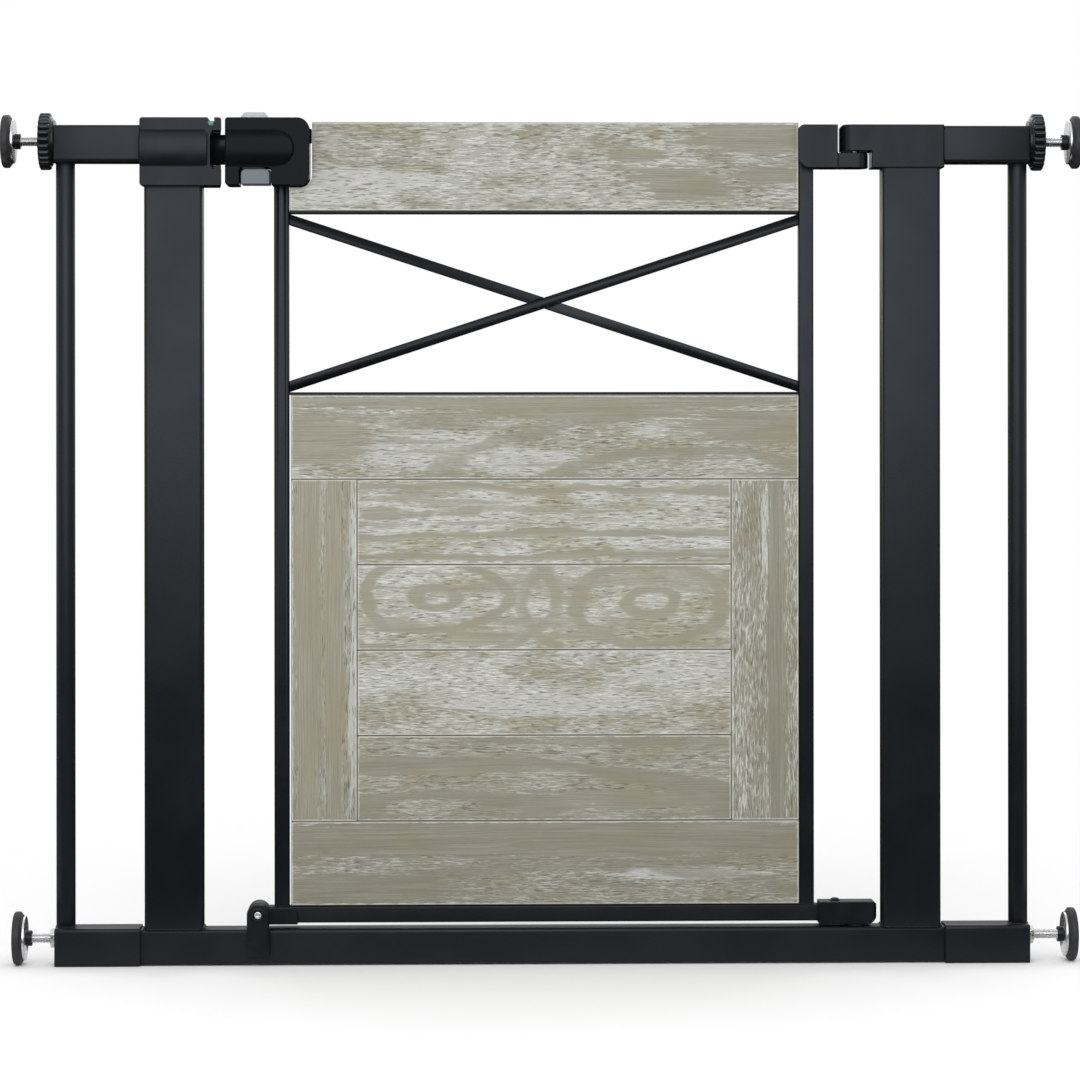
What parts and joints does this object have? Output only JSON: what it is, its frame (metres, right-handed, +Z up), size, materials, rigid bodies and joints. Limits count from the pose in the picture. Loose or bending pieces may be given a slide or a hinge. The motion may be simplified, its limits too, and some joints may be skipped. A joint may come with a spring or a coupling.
{
  "type": "safety baby gate",
  "caption": "Walk-through safety gate, pressure fitted between walls: steel frame, wooden panel door with squeeze latch, hinges, swing stop and screw adjusters with wall pads.",
  "frame": {"origin": "on the floor, midway between the faces of the upper wall pads and midway through the gate's depth", "axes": "+X runs across the doorway from the latch side to the hinge side, -Y points to the room the door opens into, +Z is up"},
  "size_m": [0.905, 0.048, 0.714],
  "materials": {
    "powder_coated_steel": "satin black powder coat",
    "black_plastic": "fine moulded texture, low sheen",
    "washed_wood": "grey-beige white-washed grain, matt",
    "zinc_plated_steel": "zinc plated",
    "pad_rubber": "matt moulded rubber",
    "trigger_plastic": "fine moulded texture",
    "button_plastic": "fine moulded texture",
    "indicator_green": "semi-gloss, red on the half that shows when unlocked"
  },
  "bodies": {
    "frame": {"bottom_rail": "powder_coated_steel", "left_post": "powder_coated_steel", "right_post": "powder_coated_steel", "extension_joiners": "powder_coated_steel", "left_extension_top_bar": "powder_coated_steel", "left_extension_bottom_bar": "powder_coated_steel", "left_extension_upright": "powder_coated_steel", "right_extension_top_bar": "powder_coated_steel", "right_extension_bottom_bar": "powder_coated_steel", "right_extension_upright": "powder_coated_steel", "end_plugs": "black_plastic", "catch_front_shell": "black_plastic", "catch_rear_shell": "black_plastic", "frame_screws": "zinc_plated_steel", "hinge_cover": "black_plastic", "hinge_pin": "zinc_plated_steel", "pivot_bush": "black_plastic"},
    "door": {"door_left_stile": "powder_coated_steel", "door_right_stile": "powder_coated_steel", "door_bottom_rail": "powder_coated_steel", "door_strips": "powder_coated_steel", "brace_bar": "powder_coated_steel", "brace_half_bars": "powder_coated_steel", "header_board": "washed_wood", "panel_top_board": "washed_wood", "panel_bottom_board": "washed_wood", "panel_left_board": "washed_wood", "panel_right_board": "washed_wood", "panel_slats": "washed_wood", "latch_front_shell": "black_plastic", "latch_rear_shell": "black_plastic", "door_screws": "zinc_plated_steel", "bolt_spring": "zinc_plated_steel", "button_spring": "zinc_plated_steel", "hinge_bracket": "black_plastic", "pivot_block": "black_plastic", "pivot_pin": "zinc_plated_steel", "door_end_cap": "black_plastic", "stop_screw": "zinc_plated_steel"},
    "bolt": {"latch_bolt": "black_plastic"},
    "trigger": {"squeeze_trigger": "trigger_plastic"},
    "button": {"top_button": "button_plastic"},
    "indicator": {"indicator_flag": "indicator_green"},
    "stop": {"swing_stop": "black_plastic"},
    "top_left_wheel_body": {"top_left_thumbwheel": "black_plastic"},
    "top_left_foot": {"top_left_spindle": "zinc_plated_steel", "top_left_disc": "zinc_plated_steel", "top_left_pad": "pad_rubber"},
    "top_right_wheel_body": {"top_right_thumbwheel": "black_plastic"},
    "top_right_foot": {"top_right_spindle": "zinc_plated_steel", "top_right_disc": "zinc_plated_steel", "top_right_pad": "pad_rubber"},
    "bottom_left_nut_body": {"bottom_left_nut": "zinc_plated_steel"},
    "bottom_left_foot": {"bottom_left_spindle": "zinc_plated_steel", "bottom_left_disc": "zinc_plated_steel", "bottom_left_pad": "pad_rubber"},
    "bottom_right_nut_body": {"bottom_right_nut": "zinc_plated_steel"},
    "bottom_right_foot": {"bottom_right_spindle": "zinc_plated_steel", "bottom_right_disc": "zinc_plated_steel", "bottom_right_pad": "pad_rubber"}
  },
  "joints": [
    {"name": "door_swing", "type": "hinge", "parent": "frame", "child": "door", "pos_m": [0.2625, 0, 0], "axis": [0, 0, 1], "range_deg": [0, 90]},
    {"name": "swing_stop_turn", "type": "hinge", "parent": "door", "child": "stop", "pos_m": [-0.2386, 0, 0.0432], "axis": [0, 1, 0], "range_deg": [0, 180]},
    {"name": "trigger_squeeze", "type": "slide", "parent": "door", "child": "trigger", "axis": [0, 0, 1], "range_m": [0, 0.005]},
    {"name": "bolt_slide", "type": "slide", "parent": "door", "child": "bolt", "axis": [1, 0, 0], "range_m": [0, 0.0075], "stiffness_N_per_m": 300, "springref_m": -0.012, "deforming": ["bolt_spring"]},
    {"name": "button_press", "type": "slide", "parent": "door", "child": "button", "axis": [0, 0, -1], "range_m": [0, 0.004], "stiffness_N_per_m": 250, "springref_m": -0.008, "deforming": ["button_spring"]},
    {"name": "indicator_slide", "type": "slide", "parent": "frame", "child": "indicator", "axis": [1, 0, 0], "range_m": [0, 0.005]},
    {"name": "top_left_wheel_turn", "type": "hinge", "parent": "frame", "child": "top_left_wheel_body", "pos_m": [-0.4177, 0, 0.6898], "axis": [1, 0, 0], "range_deg": [-4032, 7200]},
    {"name": "top_left_spindle_slide", "type": "slide", "parent": "frame", "child": "top_left_foot", "axis": [-1, 0, 0], "range_m": [-0.01401, 0.02501]},
    {"name": "top_right_wheel_turn", "type": "hinge", "parent": "frame", "child": "top_right_wheel_body", "pos_m": [0.4177, 0, 0.6898], "axis": [1, 0, 0], "range_deg": [-7200, 4032]},
    {"name": "top_right_spindle_slide", "type": "slide", "parent": "frame", "child": "top_right_foot", "axis": [1, 0, 0], "range_m": [-0.01401, 0.02501]},
    {"name": "bottom_left_spindle_slide", "type": "slide", "parent": "frame", "child": "bottom_left_foot", "axis": [-1, 0, 0], "range_m": [-0.014, 0.025]},
    {"name": "bottom_left_nut_turn", "type": "hinge", "parent": "frame", "child": "bottom_left_nut_body", "pos_m": [-0.4118, 0, 0.0223], "axis": [1, 0, 0], "range_deg": [-4033, 7201]},
    {"name": "bottom_right_spindle_slide", "type": "slide", "parent": "frame", "child": "bottom_right_foot", "axis": [1, 0, 0], "range_m": [-0.014, 0.025]},
    {"name": "bottom_right_nut_turn", "type": "hinge", "parent": "frame", "child": "bottom_right_nut_body", "pos_m": [0.4118, 0, 0.0223], "axis": [1, 0, 0], "range_deg": [-7201, 4033]}
  ],
  "couplings": [
    {"joint": "bolt_slide", "follows": "trigger_squeeze", "ratio": 1.5},
    {"joint": "indicator_slide", "follows": "trigger_squeeze", "ratio": 1},
    {"joint": "top_left_spindle_slide", "follows": "top_left_wheel_turn", "m_per_rad": 0.00019894},
    {"joint": "top_right_spindle_slide", "follows": "top_right_wheel_turn", "m_per_rad": -0.00019894},
    {"joint": "bottom_left_nut_turn", "follows": "bottom_left_spindle_slide", "rad_per_m": 5026.5},
    {"joint": "bottom_right_nut_turn", "follows": "bottom_right_spindle_slide", "rad_per_m": -5026.5}
  ]
}
